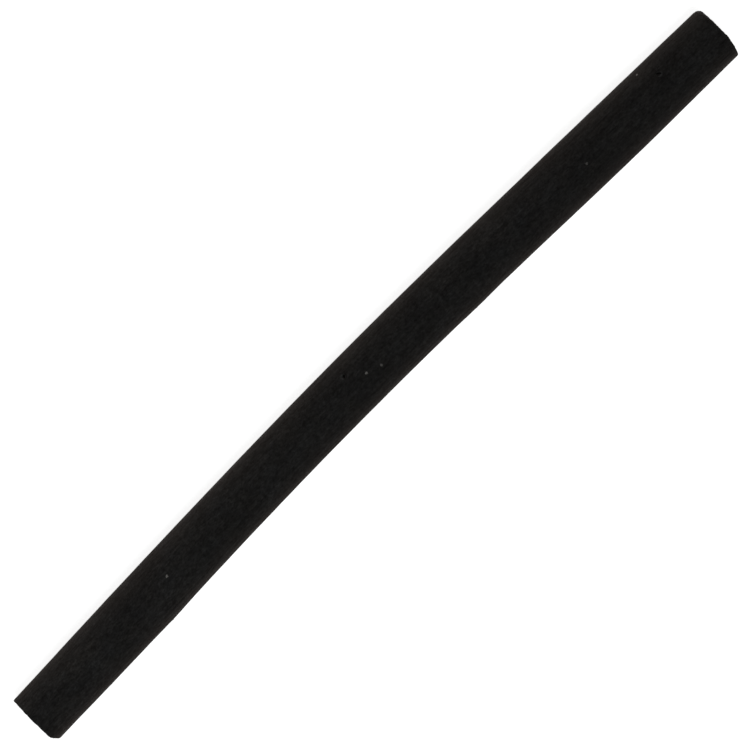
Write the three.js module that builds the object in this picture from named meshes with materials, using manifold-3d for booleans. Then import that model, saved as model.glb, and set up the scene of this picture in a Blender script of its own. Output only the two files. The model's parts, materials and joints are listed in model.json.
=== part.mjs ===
// Natural artist's charcoal stick: a peeled willow twig, two growing seasons old, charred whole.
// The twig is built the way it grew: a soft pith, the wood of each season around it as a sleeve, and the
// pin knots of its buds, which run out from the pith through both seasons' wood to the skin.
// Millimetres, +X along the stick from its butt to its drawing end, +Z up. The stick lies on its side with
// its bow flat on the surface, and the origin is on that surface, in the middle of the bounding box.
import * as THREE from "three";
import { mergeVertices } from "three/addons/utils/BufferGeometryUtils.js";
import Module from "manifold-3d";

const LENGTH = 150;
const DIAMETER = 9.5; // over the corners of its facets, at mid length
const BOW = 1.6; // how far the middle stands sideways from the line between the ends
const FIRST_SEASON_DIAMETER = 5.3;
const PITH_DIAMETER = 1.5;
const RING_GAP = 0.05; // the hairline at each growth ring, where the char has shrunk apart

// The twig's line and thickness at evenly spaced stations, as shares of BOW and DIAMETER.
const STATIONS = [
  { bow: 0.0, thickness: 0.965 },
  { bow: 0.45, thickness: 1.0 },
  { bow: 0.88, thickness: 0.99 },
  { bow: 1.0, thickness: 1.0 },
  { bow: 0.76, thickness: 1.01 },
  { bow: 0.32, thickness: 1.02 },
  { bow: 0.0, thickness: 0.99 },
];

// Both ends are cut square, with the sharp edge rubbed off, and each has lost a corner on its -Y side.
const BUTT_EDGE = 0.2;
const DRAWING_EDGE = 0.4;
const BUTT_CHIP = { across: 1.2, along: 0.7 };
const DRAWING_WEAR = { across: 3.6, along: 0.65 };

// Buds sat about a third of a turn apart up the twig. The angle is measured from +Y towards +Z.
const KNOT_COUNT = 6;
const FIRST_KNOT_AT = 26.6; // from the butt
const KNOT_SPACING = 22.35;
const FIRST_KNOT_ANGLE = THREE.MathUtils.degToRad(184);
const KNOT_TURN = THREE.MathUtils.degToRad(121);
const KNOT_ROOT_DIAMETER = 0.5; // at the pith
const KNOT_EYE_DIAMETER = 0.9; // at the skin
const KNOT_GAP = 0.05;

const SIDES = 32; // facets round the stick, one of them flat on the surface
const LENGTHS = 20; // facets along it
const KNOT_SIDES = 12;

const wasm = await Module();
wasm.setup();

const twig = new THREE.CatmullRomCurve3(
  STATIONS.map(
    ({ bow, thickness }, i) =>
      new THREE.Vector3(
        LENGTH * (i / (STATIONS.length - 1) - 0.5),
        bow * BOW,
        thickness,
      ),
  ),
);

// The centre of the twig at a distance from the butt, and its thickness there as a share of DIAMETER.
function twigAt(distance) {
  const at = twig.getPoint(THREE.MathUtils.clamp(distance / LENGTH, 0, 1));
  const flatToCentre = (DIAMETER / 2) * at.z * Math.cos(Math.PI / SIDES);
  return {
    centre: new THREE.Vector3(at.x, at.y, flatToCentre),
    thickness: at.z,
  };
}

// Lays a lathe that was turned about its own Y axis, from 0 to LENGTH, along the twig.
function layAlongTwig(lathe) {
  const position = lathe.getAttribute("position");
  for (let i = 0; i < position.count; i++) {
    const { centre, thickness } = twigAt(position.getY(i));
    position.setXYZ(
      i,
      centre.x,
      centre.y + position.getZ(i) * thickness,
      centre.z + position.getX(i) * thickness,
    );
  }
  return lathe;
}

// One wall of a lathe profile, at evenly spaced distances from one end to the other.
function wall(radius, from, to) {
  return Array.from(
    { length: LENGTHS + 1 },
    (_, i) => new THREE.Vector2(radius, from + ((to - from) * i) / LENGTHS),
  );
}

function turned(profile) {
  const halfFacet = Math.PI / SIDES;
  return layAlongTwig(
    new THREE.LatheGeometry(
      profile,
      SIDES,
      halfFacet - Math.PI / 2,
      2 * Math.PI,
    ),
  );
}

// The wood of one season: a sleeve open at both ends, with the given edges rubbed off its outside.
function sleeve(innerRadius, outerRadius, buttEdge = 0, drawingEdge = 0) {
  const buttRim = new THREE.Vector2(outerRadius - buttEdge, 0);
  const drawingRim = new THREE.Vector2(outerRadius - drawingEdge, LENGTH);
  return turned([
    ...(buttEdge ? [buttRim] : []),
    ...wall(outerRadius, buttEdge, LENGTH - drawingEdge),
    ...(drawingEdge ? [drawingRim] : []),
    ...wall(innerRadius, LENGTH, 0),
    buttRim.clone(),
  ]);
}

function rod(radius) {
  return turned([
    new THREE.Vector2(0, 0),
    ...wall(radius, 0, LENGTH),
    new THREE.Vector2(0, LENGTH),
  ]);
}

function toSolid(geometry) {
  const bare = geometry.clone();
  bare.deleteAttribute("normal");
  bare.deleteAttribute("uv");
  const merged = mergeVertices(bare, 1e-4);
  return new wasm.Manifold(
    new wasm.Mesh({
      numProp: 3,
      vertProperties: new Float32Array(merged.getAttribute("position").array),
      triVerts: new Uint32Array(merged.index.array),
    }),
  );
}

function toGeometry(solid) {
  const { vertProperties, triVerts } = solid.getMesh();
  return new THREE.BufferGeometry()
    .setAttribute("position", new THREE.BufferAttribute(vertProperties, 3))
    .setIndex(new THREE.BufferAttribute(triVerts, 1));
}

// A block whose flat side cuts across the -Y corner of an end: `across` of the end face is lost, and
// `along` of the stick's side.
function cornerCutter(end, { across, along }) {
  const size = DIAMETER * 2;
  const distance = end < 0 ? 0 : LENGTH;
  const { centre, thickness } = twigAt(distance);
  const skin = centre.y - (DIAMETER / 2) * thickness;
  const middle = new THREE.Vector3(
    centre.x - (end * along) / 2,
    skin + across / 2,
    centre.z,
  );
  const outwards = new THREE.Vector3(end * across, -along, 0).normalize();
  const cutter = new THREE.BoxGeometry(size, size, size);
  cutter.applyQuaternion(
    new THREE.Quaternion().setFromUnitVectors(
      new THREE.Vector3(1, 0, 0),
      outwards,
    ),
  );
  middle.addScaledVector(outwards, size / 2);
  return cutter.translate(middle.x, middle.y, middle.z);
}

// A pin knot: a peg that widens from the pith to the skin, made `gap` bigger all round for its hole.
function knotPeg(index, gap = 0) {
  const { centre, thickness } = twigAt(FIRST_KNOT_AT + index * KNOT_SPACING);
  const angle = FIRST_KNOT_ANGLE + index * KNOT_TURN;
  const outwards = new THREE.Vector3(0, Math.cos(angle), Math.sin(angle));
  const root = (PITH_DIAMETER / 2 + RING_GAP) * thickness - gap;
  const eye = (DIAMETER / 2) * thickness * Math.cos(Math.PI / SIDES) + gap;
  const peg = new THREE.CylinderGeometry(
    KNOT_EYE_DIAMETER / 2 + gap,
    KNOT_ROOT_DIAMETER / 2 + gap,
    eye - root,
    KNOT_SIDES,
  );
  peg.applyQuaternion(
    new THREE.Quaternion().setFromUnitVectors(
      new THREE.Vector3(0, 1, 0),
      outwards,
    ),
  );
  const middle = centre.addScaledVector(outwards, (root + eye) / 2);
  return peg.translate(middle.x, middle.y, middle.z);
}

const knots = Array.from({ length: KNOT_COUNT }, (_, i) => i);
const lostFromWood = [
  cornerCutter(-1, BUTT_CHIP),
  cornerCutter(1, DRAWING_WEAR),
  ...knots.map((i) => knotPeg(i, KNOT_GAP)),
].map(toSolid);

function cutWood(geometry) {
  return toGeometry(
    lostFromWood.reduce((wood, lost) => wood.subtract(lost), toSolid(geometry)),
  );
}

const outerCharcoal = new THREE.MeshStandardMaterial({
  color: 0x1a1918,
  roughness: 0.75,
  metalness: 0,
});
const innerCharcoal = new THREE.MeshStandardMaterial({
  color: 0x201f1e,
  roughness: 0.85,
  metalness: 0,
});
const knotCharcoal = new THREE.MeshStandardMaterial({
  color: 0x141312,
  roughness: 0.6,
  metalness: 0,
});
const spongyCharcoal = new THREE.MeshStandardMaterial({
  color: 0x2b2825,
  roughness: 0.95,
  metalness: 0,
});

function named(name, geometry, material) {
  const mesh = new THREE.Mesh(geometry, material);
  mesh.name = name;
  return mesh;
}

const charcoalStick = new THREE.Group();
charcoalStick.name = "charcoal_stick";
charcoalStick.add(
  named("pith", rod(PITH_DIAMETER / 2), spongyCharcoal),
  named(
    "first_season_wood",
    cutWood(sleeve(PITH_DIAMETER / 2 + RING_GAP, FIRST_SEASON_DIAMETER / 2)),
    innerCharcoal,
  ),
  named(
    "second_season_wood",
    cutWood(
      sleeve(
        FIRST_SEASON_DIAMETER / 2 + RING_GAP,
        DIAMETER / 2,
        BUTT_EDGE,
        DRAWING_EDGE,
      ),
    ),
    outerCharcoal,
  ),
  ...knots.map((i) => named(`pin_knot_${i + 1}`, knotPeg(i), knotCharcoal)),
);

const { min, max } = new THREE.Box3().setFromObject(charcoalStick, true);
charcoalStick.position.set(-(min.x + max.x) / 2, -(min.y + max.y) / 2, 0);

export default charcoalStick;
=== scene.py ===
"""The looks of a natural charcoal stick: a peeled willow twig, charred whole.

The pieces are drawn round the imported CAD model. Lengths are in millimetres, and meshes are scaled to
metres as they are made. A place on the stick is given by x, along it from its middle, and by its angle
round it, from +Y towards +Z. The twig's line, its thickness and the places of its knots are all read
from the frame.
"""

import itertools
import json
import math

import bpy
import numpy as np
from mathutils import Matrix, Vector
from numpy.polynomial import Polynomial

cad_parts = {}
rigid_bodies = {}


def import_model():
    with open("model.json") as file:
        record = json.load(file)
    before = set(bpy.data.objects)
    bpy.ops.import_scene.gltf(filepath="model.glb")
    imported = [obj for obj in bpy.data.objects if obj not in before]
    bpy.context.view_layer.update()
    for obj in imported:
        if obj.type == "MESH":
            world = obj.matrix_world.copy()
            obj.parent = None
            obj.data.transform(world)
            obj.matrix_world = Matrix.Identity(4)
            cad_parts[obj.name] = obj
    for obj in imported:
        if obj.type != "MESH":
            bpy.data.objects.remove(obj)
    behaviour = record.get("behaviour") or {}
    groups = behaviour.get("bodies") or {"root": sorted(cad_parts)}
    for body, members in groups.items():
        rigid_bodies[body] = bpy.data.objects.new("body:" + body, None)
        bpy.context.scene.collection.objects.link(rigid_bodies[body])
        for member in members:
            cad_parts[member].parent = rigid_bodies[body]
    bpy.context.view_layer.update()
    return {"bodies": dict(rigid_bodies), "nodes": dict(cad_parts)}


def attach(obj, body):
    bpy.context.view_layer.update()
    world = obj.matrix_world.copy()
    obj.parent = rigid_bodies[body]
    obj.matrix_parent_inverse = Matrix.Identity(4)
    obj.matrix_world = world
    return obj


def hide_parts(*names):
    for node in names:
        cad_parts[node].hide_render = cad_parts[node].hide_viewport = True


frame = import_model()

MM = 0.001
BUTT, DRAWING = -1, 1  # the two ends, and the sign of x there

# The twig's anatomy.
HAIRLINE = 0.05  # between one season's wood and the next
KNOT_HAIRLINE = 0.02  # round each knot
LINE_DEGREE = 8  # of the smooth curves that follow the CAD stations
PITH_RECESS = 0.35  # the soft pith crumbles back below the cut

# Meshes: columns round the stick, and the spacing of rows along it.
SKIN_COLUMNS = 232
CORE_COLUMNS = 144
PITH_COLUMNS = 48
KNOT_COLUMNS = 48
ROW_SPACING = 0.55
FINE_SPACING = 0.13  # at the knots and the ends
KNOT_REACH = 0.9  # how far from a knot the rows are fine
END_REACH = 1.6
BORE_ROWS = 21  # along the inside of each season's wood, with none at a knot
CORE_ROWS = 61
PITH_ROWS = 41
SKIN_RINGS, CORE_RINGS, PITH_RINGS = 12, 18, 9  # on each piece's end faces

# Layers of the skin's relief: how deep each is, and how far it reaches along the grain and across it.
SKIN_LAYERS = [
    (0.030, 30.0, 4.5),  # out of round
    (0.016, 16.0, 1.5),  # flutes
    (0.009, 6.0, 0.50),  # fibres
    (0.010, 2.0, 0.9),  # lumps
]
RELIEF_FALL = 8  # how fast the relief dies away inwards from the skin, on the end faces

# Long faint grooves on the side that shows: the start, stop, angle, width and depth of each.
STREAKS = [
    (40, 58, math.radians(59), 0.30, 0.020),
    (38, 66, math.radians(73), 0.30, 0.026),
    (52, 72, math.radians(66), 0.35, 0.026),
    (-8, 16, math.radians(64), 0.30, 0.016),
]
GROOVE_FADE = 3.0  # the stretch over which any groove fades out at its ends
GROOVE_SWAY, SWAY_RATE = 0.08, 0.23  # how far and how often a groove sways from a straight line

# The mark on the head of each pin knot, in the order of their names: the size and depth of the slit
# that the bud's strand left, which is painted dark as shade, its turn from the grain, and the side on
# which the lip of the old scar stands up, painted lighter as rubbed wear and as a highlight.
KNOT_MARKS = [
    {"length": 0.70, "width": 0.30, "turn": math.radians(80), "lip": math.radians(170), "depth": 0.16},
    {"length": 0.55, "width": 0.34, "turn": math.radians(-70), "lip": math.radians(190), "depth": 0.12},
    {"length": 0.60, "width": 0.36, "turn": math.radians(-60), "lip": math.radians(205), "depth": 0.18},
    {"length": 0.80, "width": 0.28, "turn": math.radians(55), "lip": math.radians(150), "depth": 0.14},
    {"length": 0.60, "width": 0.36, "turn": math.radians(90), "lip": math.radians(180), "depth": 0.16},
    {"length": 0.95, "width": 0.36, "turn": math.radians(42), "lip": math.radians(78), "depth": 0.11},
]
ROOT_SHARE = 0.55  # a knot's radius at the pith, as a share of its radius at the skin
HEAD_SHARES = [1, 0.95, 0.86, 0.76, 0.66, 0.56, 0.46, 0.36, 0.26, 0.16, 0.07]  # rings of a knot's head
RIM_DROP = 0.02  # of the sharp rim round a knot's head
NECK_DROP = 0.05  # of the top of a knot's straight sides, below the lowest point of its head
LIP_HEIGHT, LIP_WIDTH = 0.06, 0.12
SWELLING = {"height": 0.08, "along": 3.4, "across": 2.0}  # of the wood round each knot
DETOUR = {"share": 0.65, "along": 2.0, "across": 1.5}  # of the fibres round each knot
FULL_SHADE_DEPTH = 0.15  # a hollow in the skin this deep is painted black, as full shade
END_FULL_SHADE_DEPTH = 0.3  # the same for a hollow in an end face

# Light specks painted on the skin: x, angle and brightness.
FLECKS = [
    (-44.6, math.radians(85), 0.9),
    (-0.9, math.radians(91), 0.8),
    (1.6, math.radians(100), 0.45),
    (45.7, math.radians(96), 0.4),
    (60.9, math.radians(35), 1.0),
    (-61.0, math.radians(196), 0.7),
    (-23.5, math.radians(248), 0.9),
    (17.8, math.radians(171), 0.5),
    (33.1, math.radians(318), 0.8),
    (-12.2, math.radians(352), 0.6),
]
FLECK_RADIUS = 0.19

PIT_COUNT = 90
CHECK_COUNT = 18  # hairline splits along the grain
CHECK_WIDTH = 0.18
END_CHECK_DEPTH = 0.10  # of a hairline split that starts from a split in an end

# Each end's cut. The -Y corner is worn off over `across` of the face and `along` of the side. The sharp
# edge is rubbed round, by `edge` on the -Y side and by `far_edge` on the +Y side.
ENDS = {
    BUTT: {"across": 1.2, "along": 0.7, "edge": 0.20, "far_edge": 0.12},
    DRAWING: {"across": 3.6, "along": 0.65, "edge": 0.20, "far_edge": 0.90},
}
CORE_EDGE = 0.04  # how far the edges of the inner wood and the pith are rubbed round
WEAR_BEND = 0.3  # how softly the worn corner bends into the face
EDGE_BENDS = np.radians([20, 40, 60, 80])  # rows of points round a rubbed edge
CHIPS_PER_END = 7

# Splits in each end, in order round it: the angle, the start and stop as shares of the radius, and
# the width.
SPLITS = {
    BUTT: [
        (math.radians(96), 0.14, 0.66, 0.055),
        (math.radians(208), 0.72, 1.10, 0.045),
        (math.radians(236), 0.14, 0.42, 0.045),
        (math.radians(284), 0.14, 1.10, 0.100),
    ],
    DRAWING: [
        (math.radians(71), 0.14, 0.80, 0.055),
        (math.radians(197), 0.14, 1.10, 0.095),
        (math.radians(262), 0.74, 1.10, 0.045),
        (math.radians(322), 0.14, 0.46, 0.045),
    ],
}
SPLIT_DEPTH = 0.45
SPLIT_FADE = 0.12  # the share of the radius over which a split fades out at its ends
SPLIT_WAVES = [(0.10, 2.3, 4), (0.05, 6.1, 1)]  # how a split wanders: height, rate and phase
FACE_RELIEF = 0.08  # how far the torn face lies behind the furthest point of the stick
TORN_LAYERS = [(0.05, 0.9), (0.035, 0.38), (0.02, 0.17)]  # the torn wood of a face: depth and size
SAW_DEPTH = 0.015
SAW_SIZE = (4.0, 0.33, 1)  # of the saw's marks, along and across them
SAW_TURN = np.array([[0.94, 0.34, 0], [-0.34, 0.94, 0], [0, 0, 1]])
RAY_DEPTH, RAY_LENGTH, RAYS_PER_RADIAN = 0.02, 1.6, 13
CRUMBS = [(0.12, 0.25, 0), (0.07, 0.11, 5)]  # of the pith's broken face: depth, size and seed
CRUMB_REACH = 9  # along the pith, so that the crumbs differ from end to end but not within one
END_BLEND = 5.0  # the stretch of each wall that is shortened to meet its worn end

# The growth ring strays from a true circle in waves round it: the height, count and phase of each.
RING_WAVES = [(0.05, 2, 1.0), (0.035, 5, 2.0), (0.02, 11, 0)]
RING_OPENING = 0.08  # how far at most the wood inside the ring has shrunk away from it
RING_REACH = 0.5  # how far the straying reaches to both sides of the ring

random = np.random.default_rng(4)
LATTICE_SIZE = 96
LATTICE = random.uniform(-1, 1, (LATTICE_SIZE,) * 3)


def smooth(t):
    """A ramp from 0 to 1 as t goes from 0 to 1, level at both ends."""
    t = np.clip(t, 0, 1)
    return t * t * (3 - 2 * t)


def noise(points):
    """Smooth random values from -1 to 1, which change over about one unit."""
    cell = np.floor(points).astype(int)
    part = smooth(points - cell)
    total = 0
    for corner in itertools.product((0, 1), repeat=3):
        weight = np.where(corner, part, 1 - part).prod(axis=-1)
        x, y, z = np.moveaxis((cell + corner) % LATTICE_SIZE, -1, 0)
        total = total + LATTICE[x, y, z] * weight
    return total


def turns(columns):
    """The angles of evenly spaced columns round a full turn."""
    return np.arange(columns) * 2 * math.pi / columns


def turn_between(angle, other):
    """The signed turn from one angle to another, from -pi to pi."""
    return (angle - other + math.pi) % (2 * math.pi) - math.pi


# --- What the frame says --------------------------------------------------------------------------


def cad_points(node):
    mesh = frame["nodes"][node].data
    points = np.empty(len(mesh.vertices) * 3)
    mesh.vertices.foreach_get("co", points)
    return points.reshape(-1, 3) / MM


class Twig:
    """The line and thickness of the stick, read from the CAD pith, which runs right through it."""

    def __init__(self):
        pith = cad_points("pith")
        stations = np.unique(pith[:, 0].round(2))
        rings = [pith[np.abs(pith[:, 0] - x) < 0.02] for x in stations]
        low = np.array([ring.min(axis=0) for ring in rings])
        high = np.array([ring.max(axis=0) for ring in rings])
        self.half_length = stations[-1]
        self.y = Polynomial.fit(stations, (low[:, 1] + high[:, 1]) / 2, LINE_DEGREE)
        self.z = Polynomial.fit(stations, (low[:, 2] + high[:, 2]) / 2, LINE_DEGREE)
        self.pith_radius = Polynomial.fit(stations, (high[:, 2] - low[:, 2]) / 2, LINE_DEGREE)

    def polar(self, points):
        """x, angle and radius of points."""
        x, y, z = np.moveaxis(points, -1, 0)
        return x, np.arctan2(z - self.z(x), y - self.y(x)), np.hypot(y - self.y(x), z - self.z(x))

    def place(self, x, angle, radius):
        """The points at x, angle and radius, none of them below the surface that the stick lies on."""
        y = self.y(x) + radius * np.cos(angle)
        z = np.maximum(self.z(x) + radius * np.sin(angle), 0)
        return np.stack(np.broadcast_arrays(x, y, z), axis=-1)

    def share(self, node):
        """A node's outer radius, as a multiple of the pith's."""
        x, _, radius = self.polar(cad_points(node))
        return (radius / self.pith_radius(x)).max()


twig = Twig()
SKIN_SHARE = twig.share("second_season_wood")
CORE_SHARE = twig.share("first_season_wood")
SKIN_RADIUS = SKIN_SHARE * twig.pith_radius(0)
CORE_RADIUS = CORE_SHARE * twig.pith_radius(0)
KNOTS = sorted(name for name in frame["nodes"] if name.startswith("pin_knot_"))


def knot_eye(node):
    """x and angle of the middle of a knot's outer end, and its radius there."""
    points = cad_points(node)
    _, _, radius = twig.polar(points)
    rim = points[radius > radius.max() - 0.2]
    middle = rim.mean(axis=0)
    x, angle, _ = twig.polar(middle)
    return float(x), float(angle), float(np.abs(rim[:, 0] - middle[0]).max())


EYES = [knot_eye(node) for node in KNOTS]


# --- Relief ---------------------------------------------------------------------------------------


def seeded_pits():
    return [
        {
            "x": random.uniform(-73, 73),
            "angle": random.uniform(0, 2 * math.pi),
            "length": random.uniform(0.6, 1.5),
            "width": random.uniform(0.16, 0.28),
            "depth": random.uniform(0.02, 0.06),
        }
        for _ in range(PIT_COUNT)
    ]


def seeded_checks():
    """Hairline splits along the grain: x, angle, reach to each side, and depth.

    They are all over the skin, and one starts from each split in an end that reaches the skin.
    """
    loose = [
        (
            random.uniform(-70, 70),
            random.uniform(0, 2 * math.pi),
            random.uniform(3, 9),
            random.uniform(0.02, 0.05),
        )
        for _ in range(CHECK_COUNT)
    ]
    from_ends = [
        (end * twig.half_length, angle, random.uniform(3, 7), END_CHECK_DEPTH)
        for end, splits in SPLITS.items()
        for angle, _, stop, _ in splits
        if stop > 1
    ]
    return loose + from_ends


def seeded_chips():
    """Chips out of an end's edge: the angle, the width in radians, and the depth."""
    return [
        (random.uniform(0, 2 * math.pi), random.uniform(0.08, 0.22), random.uniform(0.06, 0.22))
        for _ in range(CHIPS_PER_END)
    ]


PITS = seeded_pits()
CHECKS = seeded_checks()
CHIPS = {end: seeded_chips() for end in ENDS}


def round_knots(x, angle):
    """The angle with the fibres' detour round each knot taken out."""
    shifted = angle
    for eye_x, eye_angle, _ in EYES:
        aside = turn_between(angle, eye_angle) * SKIN_RADIUS
        near = np.exp(-(((x - eye_x) / DETOUR["along"]) ** 2) - (aside / DETOUR["across"]) ** 2)
        shifted = shifted - DETOUR["share"] * near * aside / SKIN_RADIUS
    return shifted


def knot_lips(x, angle):
    """How far the lip of the old scar at each knot stands up."""
    height = np.zeros_like(x)
    for (eye_x, eye_angle, eye_radius), mark in zip(EYES, KNOT_MARKS):
        along = x - eye_x
        aside = turn_between(angle, eye_angle) * SKIN_RADIUS
        facing = smooth(1.6 * np.cos(turn_between(np.arctan2(aside, along), mark["lip"])) - 0.1)
        from_rim = np.hypot(along, aside) - eye_radius
        height += LIP_HEIGHT * facing * np.exp(-((from_rim / LIP_WIDTH) ** 2))
    return height


def knot_relief(x, angle):
    """The swelling at each knot, and the slit in its head as hollows."""
    height, hollows = np.zeros_like(x), np.zeros_like(x)
    for (eye_x, eye_angle, _), mark in zip(EYES, KNOT_MARKS):
        along = x - eye_x
        aside = turn_between(angle, eye_angle) * SKIN_RADIUS
        near = np.exp(-((along / SWELLING["along"]) ** 2) - (aside / SWELLING["across"]) ** 2)
        height += SWELLING["height"] * near
        c, s = math.cos(mark["turn"]), math.sin(mark["turn"])
        lengthwise = (along * c + aside * s) / mark["length"] * 2
        crosswise = (aside * c - along * s) / mark["width"] * 2
        hollows -= mark["depth"] * smooth(1.4 - np.hypot(lengthwise, crosswise))
    return height, hollows


def pit_relief(x, angle):
    height = np.zeros_like(x)
    for pit in PITS:
        aside = turn_between(angle, pit["angle"]) * SKIN_RADIUS
        away = np.hypot((x - pit["x"]) / pit["length"], aside / pit["width"])
        height -= pit["depth"] * smooth(1 - away)
    return height


def groove(x, angle, start, stop, middle, width, depth):
    """A nearly straight groove along the grain that fades at both ends."""
    fade = smooth((x - start) / GROOVE_FADE + 0.5) * smooth((stop - x) / GROOVE_FADE + 0.5)
    sway = GROOVE_SWAY * np.sin(x * SWAY_RATE + middle * 9)
    aside = turn_between(angle, middle) * SKIN_RADIUS + sway
    return -depth * fade * smooth(1 - np.abs(aside) / width)


def check_relief(x, angle):
    height = np.zeros_like(x)
    for check_x, check_angle, reach, depth in CHECKS:
        start, stop = check_x - reach, check_x + reach
        height += groove(x, angle, start, stop, check_angle, CHECK_WIDTH, depth)
    return height


def skin_relief(x, angle):
    """How far the skin stands out from the plain twig, and how much of that is hollows."""
    straight = round_knots(x, angle)
    around = np.stack([x, SKIN_RADIUS * np.cos(straight), SKIN_RADIUS * np.sin(straight)], axis=-1)
    height, hollows = knot_relief(x, angle)
    for depth, along, across in SKIN_LAYERS:
        height = height + depth * noise(around / (along, across, across) + along)
    hollows = hollows + pit_relief(x, angle) + check_relief(x, angle)
    for start, stop, middle, width, depth in STREAKS:
        hollows = hollows + groove(x, angle, start, stop, middle, width, depth)
    return height + hollows + knot_lips(x, angle), hollows


def skin_radius(x, angle):
    height, _ = skin_relief(x, angle)
    return SKIN_SHARE * twig.pith_radius(x) + height


def edge_radius(end, angle):
    """How far the sharp edge of an end is rubbed round, with its chips."""
    cut = ENDS[end]
    side = ((1 + np.cos(angle)) / 2) ** 2
    rubbed = cut["edge"] + (cut["far_edge"] - cut["edge"]) * side
    for chip_angle, width, depth in CHIPS[end]:
        rubbed = rubbed + depth * smooth(1 - np.abs(turn_between(angle, chip_angle)) / width)
    return rubbed


def end_face(end, angle, radius):
    """How far an end's face is from the middle of the stick, and how deep its splits are."""
    cut = ENDS[end]
    middle_x = end * twig.half_length
    y = radius * np.cos(angle)
    z = radius * np.sin(angle)
    skin_y = -SKIN_SHARE * twig.pith_radius(middle_x)
    into_wear = np.maximum((skin_y + cut["across"] - y) / cut["across"], 0)
    worn = cut["along"] * (1 + WEAR_BEND) * into_wear**2 / (into_wear + WEAR_BEND)

    points = np.stack([y, z, np.full_like(y, 7.0 * end)], axis=-1)
    torn = sum(depth * noise(points / size) for depth, size in TORN_LAYERS)
    sawn = SAW_DEPTH * noise(points @ SAW_TURN / SAW_SIZE)
    around = [np.cos(angle) * RAYS_PER_RADIAN, np.sin(angle) * RAYS_PER_RADIAN]
    rays = RAY_DEPTH * noise(np.stack([*around, radius / RAY_LENGTH], axis=-1))
    hollows = split_hollows(end, angle, radius)
    return twig.half_length - FACE_RELIEF - worn + torn + sawn + rays - hollows, hollows


def split_hollows(end, angle, radius):
    """How deep the splits in an end face are, each of them wandering a little from its radius."""
    hollows = np.zeros_like(radius)
    share = radius / SKIN_RADIUS
    for split_angle, start, stop, width in SPLITS[end]:
        wander = sum(
            height * np.sin(radius * rate + split_angle * phase) for height, rate, phase in SPLIT_WAVES
        )
        aside = np.abs(turn_between(angle, split_angle) * radius + wander)
        fade = smooth((share - start) / SPLIT_FADE) * smooth((stop - share) / SPLIT_FADE)
        hollows += SPLIT_DEPTH * fade * smooth(1.5 - aside / width)
    return hollows


# --- Meshes ---------------------------------------------------------------------------------------


def row_places():
    """x of the wall's rows, close together at the knots and the ends."""
    fine_x = [(eye_x, KNOT_REACH) for eye_x, _, _ in EYES]
    fine_x += [(end * twig.half_length, END_REACH) for end in ENDS]
    places = [-twig.half_length]
    while places[-1] < twig.half_length:
        near = max(smooth(1.5 - abs(places[-1] - x) / reach) for x, reach in fine_x)
        places.append(places[-1] + ROW_SPACING + (FINE_SPACING - ROW_SPACING) * near)
    places[-1] = twig.half_length
    return np.array(places)


def make_mesh(name, points, faces):
    """An object from points in millimetres."""
    mesh = bpy.data.meshes.new(name)
    mesh.from_pydata((points * MM).tolist(), [], faces)
    mesh.validate()
    mesh.shade_smooth()
    piece = bpy.data.objects.new(name, mesh)
    bpy.context.scene.collection.objects.link(piece)
    return piece


def grid_faces(rows, columns, wrapped):
    """Quads between neighbouring rows of points, the last row joined to the first one if wrapped."""
    faces = []
    for row in range(rows if wrapped else rows - 1):
        here = row * columns
        there = (row + 1) % rows * columns
        for column in range(columns):
            after = (column + 1) % columns
            faces.append((here + column, here + after, there + after, there + column))
    return faces


def cap_faces(first, columns, middle, outwards):
    """Triangles from a row of points to the point in its middle."""
    ring = [(first + column, first + (column + 1) % columns) for column in range(columns)]
    return [(a, b, middle) if outwards else (b, a, middle) for a, b in ring]


def ring_shift(radius, angle):
    """How far the wood near the growth ring strays from a true circle."""
    wave = sum(height * np.sin(count * angle + phase) for height, count, phase in RING_WAVES)
    opening = RING_OPENING * np.maximum(np.sin(3 * angle + 0.6) * np.sin(2 * angle), 0)
    inside = radius < CORE_RADIUS + HAIRLINE / 2
    near = np.exp(-(((radius - CORE_RADIUS) / RING_REACH) ** 2))
    return (wave - np.where(inside, opening, 0)) * near


def rubbed_edge(end, angle, outer):
    """How far the outer edge of a piece is rubbed round at an end."""
    on_skin = outer > CORE_RADIUS * 1.1
    return edge_radius(end, angle) if on_skin else np.full(len(angle), CORE_EDGE)


def face_rows(end, outer, inner, columns, rings, recess=0.0):
    """Rows of one end face, from its rubbed edge at the outer radius to the inner radius."""
    angle = turns(columns)
    rubbed = rubbed_edge(end, angle, outer)
    rows = []
    for bend in EDGE_BENDS:
        radius = outer - rubbed * (1 - np.cos(bend))
        face, _ = end_face(end, angle, radius)
        rows.append((end * (face - recess - rubbed * (1 - np.sin(bend))), angle, radius))
    for share in np.linspace(0, 1, rings):
        radius = (outer - rubbed) * (1 - share) + inner * share
        face, _ = end_face(end, angle, radius)
        rows.append((end * (face - recess), angle, radius))
    return rows


def wall_rows(places, outer, columns):
    """Rows along an outer wall, shortened near each end to meet its face."""
    angle = turns(columns)
    shortening = {}
    for end in ENDS:
        face, _ = end_face(end, angle, np.full(columns, outer))
        shortening[end] = twig.half_length - face + rubbed_edge(end, angle, outer)
    rows = []
    for place in places:
        end = DRAWING if place > 0 else BUTT
        near = smooth((abs(place) - twig.half_length + END_BLEND) / END_BLEND)
        rows.append((place - end * near * shortening[end], angle, np.full(columns, outer)))
    return rows


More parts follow.
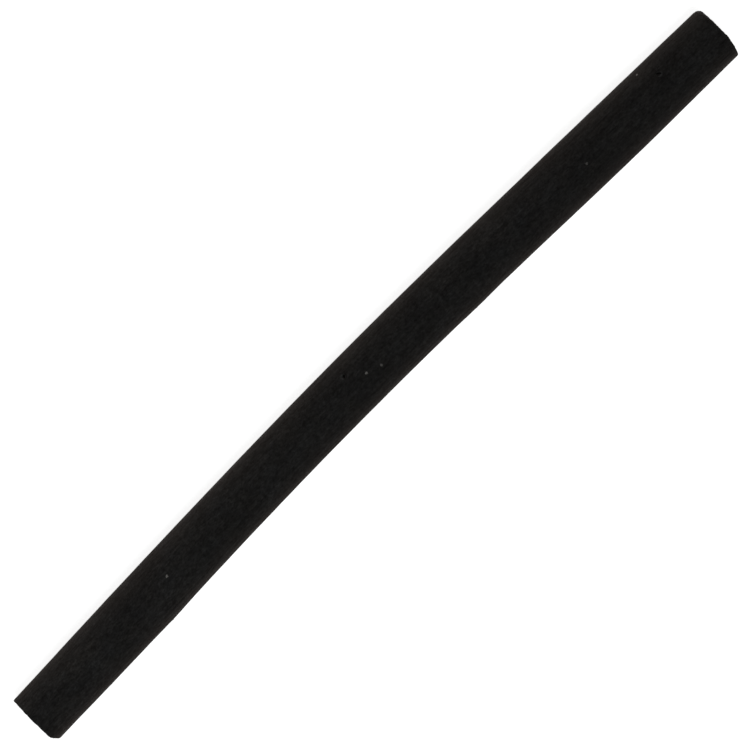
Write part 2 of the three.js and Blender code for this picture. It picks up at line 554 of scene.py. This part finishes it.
def sleeve(name, outer_share, inner_share, columns, places, rings, relief):
    """The wood of one season, open in the middle, with relief on its skin and on both end faces."""
    outer = outer_share * twig.pith_radius(0)
    inner = inner_share * twig.pith_radius(0)
    angle = turns(columns)
    rows = wall_rows(places, outer, columns)
    rows += face_rows(DRAWING, outer, inner, columns, rings)
    for x in np.linspace(1, -1, BORE_ROWS)[1:-1] * twig.half_length:
        rows.append((np.full(columns, x), angle, np.full(columns, inner)))
    rows += reversed(face_rows(BUTT, outer, inner, columns, rings))

    x, angle, radius = (np.array(part) for part in zip(*rows))
    swell = twig.pith_radius(x) / twig.pith_radius(0)
    if relief:
        height, _ = skin_relief(x, angle)
        swell = swell + height / outer * (radius / outer) ** RELIEF_FALL
    points = twig.place(x, angle, radius * swell + ring_shift(radius, angle))
    return make_mesh(name, points.reshape(-1, 3), grid_faces(len(rows), columns, wrapped=True))


def solid_rod(name, share, columns):
    """The pith: a rod with a crumbled face at each end, sunk below the cut."""
    outer = share * twig.pith_radius(0)
    inner = 0.05  # of the last ring, whose middle is closed with triangles
    angle = turns(columns)
    rows = list(reversed(face_rows(BUTT, outer, inner, columns, PITH_RINGS, PITH_RECESS)))
    for x in np.linspace(-1, 1, PITH_ROWS)[1:-1] * twig.half_length:
        rows.append((np.full(columns, x), angle, np.full(columns, outer)))
    rows += face_rows(DRAWING, outer, inner, columns, PITH_RINGS, PITH_RECESS)
    x, angle, radius = (np.array(part) for part in zip(*rows))
    swell = twig.pith_radius(x) / twig.pith_radius(0)
    round_x = np.stack([x, radius * np.cos(angle), radius * np.sin(angle)], axis=-1)
    crumbs = sum(
        depth * noise(round_x / (CRUMB_REACH, size, size) + seed) for depth, size, seed in CRUMBS
    )
    at_end = smooth((np.abs(x) - twig.half_length + 1.5) / 0.5)
    x = x + at_end * crumbs
    points = twig.place(x, angle, radius * swell).reshape(-1, 3)
    first, last = points[:columns].mean(axis=0), points[-columns:].mean(axis=0)
    count = len(points)
    faces = grid_faces(len(rows), columns, wrapped=False)
    faces += cap_faces(0, columns, count, outwards=False)
    faces += cap_faces(count - columns, columns, count + 1, outwards=True)
    return make_mesh(name, np.vstack([points, first, last]), faces)


def peg(profile, eye):
    """The points and faces of a peg that points out of the twig at a knot's eye.

    Its profile gives the height and radius of each ring.
    """
    eye_x, eye_angle, _ = eye
    outwards = np.array([0, math.cos(eye_angle), math.sin(eye_angle)])
    sideways = np.array([0, -math.sin(eye_angle), math.cos(eye_angle)])
    centre = np.array([eye_x, twig.y(eye_x), twig.z(eye_x)])
    turn = turns(KNOT_COLUMNS)
    rings = [
        centre
        + outwards * np.reshape(height, (-1, 1))
        + np.outer(np.cos(turn) * radius, (1, 0, 0))
        + np.outer(np.sin(turn) * radius, sideways)
        for height, radius in profile
    ]
    count = len(rings) * KNOT_COLUMNS
    faces = grid_faces(len(rings), KNOT_COLUMNS, wrapped=False)
    faces += cap_faces(0, KNOT_COLUMNS, count, outwards=False)
    faces += cap_faces(count - KNOT_COLUMNS, KNOT_COLUMNS, count + 1, outwards=True)
    return np.vstack([*rings, rings[0].mean(axis=0), rings[-1].mean(axis=0)]), faces


def knot_sides(eye, root):
    """The radius of a knot at its root, and how much it widens for each millimetre outwards."""
    root_radius = eye[2] * ROOT_SHARE
    return root_radius, (eye[2] - root_radius) / (SKIN_RADIUS - root)


def head_height(eye, radius):
    """How far out a knot's head lies, in line with the skin, at each column of a ring."""
    eye_x, eye_angle, _ = eye
    turn = turns(KNOT_COLUMNS)
    aside = radius * np.sin(turn)
    skin = skin_radius(eye_x + radius * np.cos(turn), eye_angle + np.arcsin(aside / SKIN_RADIUS))
    return np.sqrt(skin**2 - aside**2)


def knot(name, node, eye):
    """A pin knot: a peg from the pith to the skin, with a slit in its head that is painted dark as
    shade.
    """
    _, _, radius = twig.polar(cad_points(node))
    root = radius.min()
    root_radius, slope = knot_sides(eye, root)
    neck = head_height(eye, eye[2]).min() - NECK_DROP
    profile = [(height, root_radius + slope * (height - root)) for height in np.linspace(root, neck, 5)]
    for share in HEAD_SHARES:
        sunk = RIM_DROP if share == 1 else 0
        profile.append((head_height(eye, eye[2] * share) - sunk, eye[2] * share))
    return make_mesh(name, *peg(profile, eye))


def knot_spaces():
    """The spaces of the knots, each a hairline wider than its knot and past both ends of it."""
    points, faces = [], []
    for eye in EYES:
        start = twig.pith_radius(eye[0]) + HAIRLINE / 2
        root_radius, slope = knot_sides(eye, start)
        profile = [
            (height, root_radius + slope * (height - start) + KNOT_HAIRLINE)
            for height in (start, SKIN_RADIUS + 1)
        ]
        space, sides = peg(profile, eye)
        faces += [tuple(len(points) + corner for corner in side) for side in sides]
        points.extend(space)
    return make_mesh("knot_spaces", np.array(points), faces)


def cut_knot_holes(piece):
    """Cuts the knots' holes out of a season's wood."""
    spaces = knot_spaces()
    cut = piece.modifiers.new("holes", "BOOLEAN")
    cut.operation = "DIFFERENCE"
    cut.solver = "MANIFOLD"
    cut.object = spaces
    evaluated = piece.evaluated_get(bpy.context.evaluated_depsgraph_get())
    cut_mesh = bpy.data.meshes.new_from_object(evaluated)
    piece.modifiers.clear()
    piece.data = cut_mesh
    bpy.data.objects.remove(spaces)


def add_attributes(piece):
    """Gives a piece the numbers that its material reads, worked out for each vertex."""
    mesh = piece.data
    points = np.empty(len(mesh.vertices) * 3)
    mesh.vertices.foreach_get("co", points)
    x, angle, radius = twig.polar(points.reshape(-1, 3) / MM)
    grain = np.stack([x, radius * np.cos(angle), radius * np.sin(angle)], axis=-1)
    _, skin_hollows = skin_relief(x, angle)
    on_skin = smooth((radius / (SKIN_SHARE * twig.pith_radius(x)) - 0.94) / 0.04)
    _, butt_hollows = end_face(BUTT, angle, radius)
    _, drawing_hollows = end_face(DRAWING, angle, radius)
    at_end = smooth((np.abs(x) - twig.half_length + 1.6) / 0.9) * (1 - on_skin)
    end_hollows = np.where(x > 0, drawing_hollows, butt_hollows) * at_end
    # hollow sets the painted shade in hollows and splits; raised sets the lighter paint on the knots'
    # lips, partly a painted highlight.
    floats = {
        "hollow": -skin_hollows * on_skin / FULL_SHADE_DEPTH + end_hollows / END_FULL_SHADE_DEPTH,
        "raised": knot_lips(x, angle) * on_skin / LIP_HEIGHT,
        "end_grain": at_end,
    }
    vectors = mesh.attributes.new("grain", "FLOAT_VECTOR", "POINT")
    vectors.data.foreach_set("vector", grain.ravel())
    for name, values in floats.items():
        attribute = mesh.attributes.new(name, "FLOAT", "POINT")
        attribute.data.foreach_set("value", np.clip(values, 0, 1))


# --- Materials ------------------------------------------------------------------------------------


class Shader:
    """A few short ways to build a node tree."""

    def __init__(self, name):
        self.material = bpy.data.materials.new(name)
        self.material.use_nodes = True
        self.tree = self.material.node_tree
        self.surface = self.tree.nodes["Principled BSDF"]

    def add(self, kind, **settings):
        node = self.tree.nodes.new(kind)
        for name, value in settings.items():
            setattr(node, name, value)
        return node

    def feed(self, node, inputs):
        """Sets a node's inputs, each to a number or to another node's output."""
        for name, value in inputs.items():
            if isinstance(value, bpy.types.NodeSocket):
                self.tree.links.new(value, node.inputs[name])
            else:
                node.inputs[name].default_value = value
        return node

    def attribute(self, name, output="Fac"):
        return self.add("ShaderNodeAttribute", attribute_name=name).outputs[output]

    def maths(self, operation, *values, clamp=False):
        node = self.add("ShaderNodeMath", operation=operation, use_clamp=clamp)
        return self.feed(node, dict(enumerate(values))).outputs[0]

    def stretched(self, vector, scale):
        node = self.add("ShaderNodeVectorMath", operation="MULTIPLY")
        return self.feed(node, {0: vector, 1: scale}).outputs[0]

    def noise(self, vector, scale, detail=2.0, roughness=0.5):
        """Cloudy noise from 0 to 1. Scale is its waves in a millimetre, along the stick and across."""
        node = self.add("ShaderNodeTexNoise")
        along, across = scale
        inputs = {"Scale": 1.0, "Detail": detail, "Roughness": roughness}
        inputs["Vector"] = self.stretched(vector, (along, across, across))
        return self.feed(node, inputs).outputs["Fac"]

    def between(self, value, low, high, clamp=True):
        """Stretches a value's range from low to high over 0 to 1."""
        node = self.add("ShaderNodeMapRange", clamp=clamp)
        return self.feed(node, {"Value": value, "From Min": low, "From Max": high}).outputs["Result"]

    def around_one(self, noise, spread):
        """Noise as a factor that runs from 1 - spread to 1 + spread."""
        return self.maths("MULTIPLY_ADD", self.between(noise, 0.3, 0.7), 2 * spread, 1 - spread)

    def product(self, first, *factors):
        for factor in factors:
            first = self.maths("MULTIPLY", first, factor)
        return first

    def mix(self, share, low, high):
        """Mixes two numbers."""
        node = self.add("ShaderNodeMix", data_type="FLOAT")
        return self.feed(node, {0: share, 2: low, 3: high}).outputs[0]

    def tint(self, share, low, high):
        """Mixes two colours."""
        node = self.add("ShaderNodeMix", data_type="RGBA")
        return self.feed(node, {0: share, 6: low, 7: high}).outputs[2]

    def bump(self, height, distance, normal=None):
        node = self.add("ShaderNodeBump")
        self.feed(node, {"Height": height, "Distance": distance * MM, "Strength": 1.0})
        if normal is not None:
            self.feed(node, {"Normal": normal})
        return node.outputs["Normal"]

    def finish(self, colour, rough, gloss, looks):
        """Gives the surface its look. A gloss of 0.5 reflects as strongly as common plastic."""
        basics = {"Base Color": colour, "Roughness": rough, "Specular IOR Level": gloss}
        self.feed(self.surface, {**basics, **looks})


def grey(value, warmth=0.0):
    """A near-neutral colour, a little warmer or cooler."""
    return (value * (1 + warmth), value, value * (1 - warmth), 1.0)


DUST = 0.1  # the grey of char dust, of which the wood shows only a share
SKIN_TONE = 0.068  # the mean share on the skin
BUTT_DUST, DRAWING_DUST = 1.2, 0.87  # the dust is a little thicker towards the butt
END_TONE = 0.13  # the mean share on end grain
HOLLOW_SHADE = grey(0.0010)  # painted shade inside a pit, a check or a knot's slit
# The near-black of the pores in end grain, and painted shade in an end face's splits.
PORE_AND_SPLIT_SHADE = grey(0.0015)
# Lighter on a knot scar's raised lip: rubbed wear, and a painted highlight.
LIP_WEAR_AND_HIGHLIGHT = grey(0.022)
FLECK = grey(0.09, 0.05)
SKIN_GLOSS = 0.03
KNOT_GLOSS = 0.06
# Fine dust shows brownish at a grazing angle.
DUST_SHEEN = {"Sheen Weight": 0.020, "Sheen Roughness": 0.5, "Sheen Tint": (1.0, 0.50, 0.28, 1.0)}


def fleck_glow(shader, grain):
    """Each fleck's brightness on the fleck, and 0 elsewhere."""
    glow = 0.0
    ragged = shader.maths("MULTIPLY_ADD", shader.noise(grain, (5, 5)), 0.5, -0.25)
    for x, angle, brightness in FLECKS:
        centre = (x, SKIN_RADIUS * math.cos(angle), SKIN_RADIUS * math.sin(angle))
        node = shader.add("ShaderNodeVectorMath", operation="DISTANCE")
        distance = shader.feed(node, {0: grain, 1: centre}).outputs["Value"]
        away = shader.maths("ADD", distance, ragged)
        fleck = shader.between(away, FLECK_RADIUS + 0.06, FLECK_RADIUS - 0.04)
        glow = shader.maths("MAXIMUM", glow, shader.maths("MULTIPLY", fleck, brightness))
    return glow


def skin_finish(shader, grain):
    """The colour and roughness of the skin: black and gritty, with faint fibres and fine dust.

    Its hollows are painted dark as shade, and the knots' lips lighter as rubbed wear and a painted
    highlight.
    """
    hollow, raised = shader.attribute("hollow"), shader.attribute("raised")
    fibres = shader.noise(grain, (0.22, 2.6), detail=3)
    grit = shader.noise(grain, (2.0, 3.8), detail=2, roughness=0.7)
    lumps = shader.noise(grain, (1.0, 1.3), detail=1)
    clouds = shader.noise(grain, (0.12, 0.25), detail=2)
    warmth = shader.noise(shader.stretched(grain, (-1, 1, 1)), (0.3, 0.4), detail=1)
    place = shader.feed(shader.add("ShaderNodeSeparateXYZ"), {"Vector": grain}).outputs["X"]
    half = float(twig.half_length)

    tone = shader.product(
        SKIN_TONE,
        shader.mix(shader.between(place, -half, half), BUTT_DUST, DRAWING_DUST),
        shader.around_one(grit, 0.52),
        shader.around_one(lumps, 0.26),
        shader.around_one(fibres, 0.20),
        shader.around_one(clouds, 0.15),
    )
    dust = shader.tint(warmth, grey(DUST, -0.04), grey(DUST, 0.08))
    colour = shader.tint(tone, grey(0.0), dust)
    # Painted highlight, with rubbed wear, on the raised lips of the knots' scars.
    colour = shader.tint(shader.maths("MULTIPLY", raised, 0.7), colour, LIP_WEAR_AND_HIGHLIGHT)
    # Painted shade in the pits, checks and knot slits, darker the deeper the hollow.
    colour = shader.tint(shader.maths("MULTIPLY", hollow, 0.9), colour, HOLLOW_SHADE)
    colour = shader.tint(fleck_glow(shader, grain), colour, FLECK)

    rough = shader.mix(shader.between(fibres, 0.3, 0.7), 0.78, 0.58)
    rough = shader.mix(shader.between(grit, 0.35, 0.65), rough, 0.72)
    return colour, shader.mix(hollow, rough, 0.95), (fibres, grit)


def end_grain_finish(shader, grain):
    """The colour and roughness of a cut end: matt, with fine rays and pores, and painted shade in its
    splits.

    The wood is denser, and so darker, just inside the growth ring.
    """
    hollow = shader.attribute("hollow")
    across = shader.stretched(grain, (0, 1, 1))
    radius = shader.add("ShaderNodeVectorMath", operation="LENGTH")
    radius = shader.feed(radius, {0: across}).outputs["Value"]
    outwards = shader.add("ShaderNodeVectorMath", operation="NORMALIZE")
    outwards = shader.feed(outwards, {0: across}).outputs["Vector"]
    rays = shader.noise(outwards, (0, 15), detail=2, roughness=0.6)
    grit = shader.noise(grain, (2.0, 7.0), detail=3)
    pores = shader.add("ShaderNodeTexVoronoi", feature="F1")
    shader.feed(pores, {"Vector": shader.stretched(grain, (0.3, 1, 1)), "Scale": 8.5})
    opened = shader.mix(shader.noise(grain, (0.5, 1.4)), 0.0, 0.5)
    pore = shader.between(shader.maths("SUBTRACT", pores.outputs["Distance"], opened), 0.08, -0.04)
    dense = shader.maths(
        "MULTIPLY",
        shader.between(radius, CORE_RADIUS - 0.6, CORE_RADIUS),
        shader.maths("LESS_THAN", radius, CORE_RADIUS + 0.1),
    )
    tone = shader.product(
        END_TONE,
        shader.around_one(grit, 0.35),
        shader.around_one(rays, 0.45),
        shader.mix(dense, 1.05, 0.6),
    )
    colour = shader.tint(tone, grey(0.0), grey(DUST, 0.02))
    # Near-black pores, and painted shade in the splits, deeper splits darker.
    dark = shader.maths("MAXIMUM", shader.maths("MULTIPLY", pore, 0.8), hollow)
    colour = shader.tint(dark, colour, PORE_AND_SPLIT_SHADE)
    return colour, shader.mix(pore, 0.8, 0.98), (pore, grit)


def skin_material():
    """Charred wood as the peeled twig shows it, with end grain on both cut faces."""
    shader = Shader("willow_skin")
    grain = shader.attribute("grain", "Vector")
    end = shader.attribute("end_grain")
    skin_colour, skin_rough, (fibres, grit) = skin_finish(shader, grain)
    end_colour, end_rough, (pore, _) = end_grain_finish(shader, grain)
    threads = shader.noise(grain, (0.9, 9.0), detail=2)
    normal = shader.bump(fibres, 0.08)
    normal = shader.bump(threads, 0.03, normal)
    normal = shader.bump(grit, 0.05, normal)
    normal = shader.bump(shader.maths("MULTIPLY", pore, end), -0.06, normal)
    colour = shader.tint(end, skin_colour, end_colour)
    rough = shader.mix(end, skin_rough, end_rough)
    shader.finish(colour, rough, SKIN_GLOSS, {"Normal": normal, **DUST_SHEEN})
    return shader.material


def wood_material():
    """The first season's wood, which shows only where it is cut."""
    shader = Shader("willow_end_grain")
    grain = shader.attribute("grain", "Vector")
    colour, rough, (pore, grit) = end_grain_finish(shader, grain)
    normal = shader.bump(pore, -0.06, shader.bump(grit, 0.05))
    shader.finish(colour, rough, SKIN_GLOSS, {"Normal": normal, **DUST_SHEEN})
    return shader.material


def pith_material():
    """A soft, dull foam of charred cells."""
    shader = Shader("willow_pith")
    grain = shader.attribute("grain", "Vector")
    cells = shader.add("ShaderNodeTexVoronoi", feature="DISTANCE_TO_EDGE")
    shader.feed(cells, {"Vector": shader.stretched(grain, (0.4, 1, 1)), "Scale": 7.0})
    cell_wall = shader.between(cells.outputs["Distance"], 0.16, 0.03)
    grit = shader.noise(grain, (3.0, 9.0), detail=2)
    colour = shader.tint(cell_wall, grey(0.005, 0.06), grey(0.028, 0.08))
    colour = shader.tint(shader.between(grit, 0.3, 0.8), colour, grey(0.020, 0.06))
    rough = shader.mix(grit, 0.85, 1.0)
    shader.finish(colour, rough, SKIN_GLOSS, {"Normal": shader.bump(cell_wall, 0.08)})
    return shader.material


def knot_material():
    """Dense char: the skin's look on the head, with painted shade in the slit, and a smoother break
    inside it.
    """
    shader = Shader("willow_knot")
    grain = shader.attribute("grain", "Vector")
    colour, rough, (fibres, grit) = skin_finish(shader, grain)
    normal = shader.bump(grit, 0.05, shader.bump(fibres, 0.08))
    shader.finish(colour, rough, KNOT_GLOSS, {"Normal": normal, **DUST_SHEEN})
    return shader.material


# --- The pieces -----------------------------------------------------------------------------------


def finish_piece(piece, material, slot, *nodes):
    add_attributes(piece)
    piece.data.materials.clear()
    piece.data.materials.append(material)
    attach(piece, next(iter(frame["bodies"])))
    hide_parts(*nodes)


def build_stick():
    skin = sleeve(
        "second_season_skin",
        SKIN_SHARE,
        CORE_SHARE + HAIRLINE / twig.pith_radius(0),
        SKIN_COLUMNS,
        row_places(),
        SKIN_RINGS,
        relief=True,
    )
    core = sleeve(
        "first_season_core",
        CORE_SHARE,
        1 + HAIRLINE / twig.pith_radius(0),
        CORE_COLUMNS,
        np.linspace(-1, 1, CORE_ROWS) * twig.half_length,
        CORE_RINGS,
        relief=False,
    )
    for piece in (skin, core):
        cut_knot_holes(piece)
        piece.data.shade_smooth()
        piece.data.set_sharp_from_angle(angle=math.radians(50))
    finish_piece(skin, skin_material(), "charred_skin", "second_season_wood")
    finish_piece(core, wood_material(), "charred_wood", "first_season_wood")
    finish_piece(solid_rod("spongy_pith", 1.0, PITH_COLUMNS), pith_material(), "charred_pith", "pith")
    dense_char = knot_material()
    for node, eye in zip(KNOTS, EYES):
        finish_piece(knot(f"{node}_peg", node, eye), dense_char, "charred_knot", node)


# --- The studio -----------------------------------------------------------------------------------

VIEW_TURN = math.radians(45.26)  # the stick rises to the right by this much in the picture
VIEW_CENTRE = (-0.19, -0.49)  # the point under the camera
VIEW_WIDTH = 115.4  # across the picture, at the height of the stick's middle
LENS, SENSOR = 550.0, 36.0

# The table that the stick lies on: a wide disc that glows, and glows more where less light falls on it.
FLOOR_RADIUS = 5000.0  # so wide that its rim doesn't show from low down
FLOOR_COLUMNS = 96
FLOOR_DROP = 0.02  # below the stick, so that the two don't touch
FLOOR_GREY = 0.5
NEAR_FLOOR, FAR_FLOOR = 400.0, 1600.0  # the distances between which the glow grows
NEAR_GLOW, FAR_GLOW = 0.80, 1.0
WORLD_LIGHT = 0.15

# Square softboxes round the stick, all as far away. Azimuth 0 is over its +Y side, and azimuth 90 is
# over its drawing end.
SOFTBOX_DISTANCE = 2400.0
SOFTBOX_SIZE = 1000.0
SOFTBOXES = {
    "key": {"azimuth": 0, "elevation": 4, "power": 36.0, "colour": (1.0, 0.94, 0.88)},
    "fill": {"azimuth": 180, "elevation": 30, "power": 1.0, "colour": (1.0, 0.55, 0.30)},
    "overhead": {"azimuth": 195, "elevation": 70, "power": 33.0, "colour": (0.95, 1.0, 1.0)},
    "drawing_end": {"azimuth": 90, "elevation": 18, "power": 14.0, "colour": (1.0, 1.0, 1.0)},
    "butt_end": {"azimuth": 270, "elevation": 18, "power": 22.0, "colour": (1.0, 1.0, 1.0)},
}


def add_camera():
    data = bpy.data.cameras.new("camera")
    data.lens = LENS
    data.sensor_width = SENSOR
    distance = VIEW_WIDTH * LENS / SENSOR
    height = twig.z(0) + distance
    data.clip_start = 0.1 * distance * MM
    data.clip_end = 10 * distance * MM
    camera = bpy.data.objects.new("camera", data)
    place = Matrix.Translation(Vector((*VIEW_CENTRE, height)) * MM)
    camera.matrix_world = place @ Matrix.Rotation(-VIEW_TURN, 4, "Z")
    bpy.context.scene.collection.objects.link(camera)
    bpy.context.scene.camera = camera


def add_softbox(name, azimuth, elevation, power, colour):
    """A square area light aimed at the stick."""
    data = bpy.data.lights.new(name, "AREA")
    data.shape = "SQUARE"
    data.size = SOFTBOX_SIZE * MM
    data.energy = power
    data.color = colour
    lamp = bpy.data.objects.new(name, data)
    a, e = math.radians(azimuth), math.radians(elevation)
    outwards = Vector((math.sin(a) * math.cos(e), math.cos(a) * math.cos(e), math.sin(e)))
    lamp.visible_camera = False
    lamp.location = outwards * SOFTBOX_DISTANCE * MM
    lamp.rotation_mode = "QUATERNION"
    lamp.rotation_quaternion = outwards.to_track_quat("Z", "Y")
    bpy.context.scene.collection.objects.link(lamp)


def add_floor():
    turn = turns(FLOOR_COLUMNS)
    rings = [
        np.stack([radius * np.cos(turn), radius * np.sin(turn), np.zeros(FLOOR_COLUMNS)], axis=-1)
        for radius in (FLOOR_RADIUS, FAR_FLOOR, NEAR_FLOOR)
    ]
    points = np.vstack([*rings, (0, 0, 0)]) - (0, 0, FLOOR_DROP)
    innermost = FLOOR_COLUMNS * (len(rings) - 1)
    faces = grid_faces(len(rings), FLOOR_COLUMNS, wrapped=False)
    faces += cap_faces(innermost, FLOOR_COLUMNS, len(points) - 1, outwards=True)
    floor = make_mesh("floor", points, faces)

    shader = Shader("white_table")
    away = shader.add("ShaderNodeVectorMath", operation="LENGTH")
    shader.feed(away, {0: shader.add("ShaderNodeTexCoord").outputs["Object"]})
    far = shader.between(away.outputs["Value"], NEAR_FLOOR * MM, FAR_FLOOR * MM)
    glow = shader.mix(far, NEAR_GLOW, FAR_GLOW)
    looks = {"Emission Color": grey(1.0), "Emission Strength": glow}
    shader.finish(grey(FLOOR_GREY), 1.0, 0.0, looks)
    floor.data.materials.append(shader.material)


def add_world():
    world = bpy.data.worlds.new("studio")
    world.use_nodes = True
    background = world.node_tree.nodes["Background"]
    background.inputs["Color"].default_value = grey(1.0)
    background.inputs["Strength"].default_value = WORLD_LIGHT
    bpy.context.scene.world = world


def build_studio():
    bpy.context.scene.view_settings.view_transform = "Standard"
    add_camera()
    add_floor()
    add_world()
    for name, light in SOFTBOXES.items():
        add_softbox(name, **light)


build_studio()
build_stick()
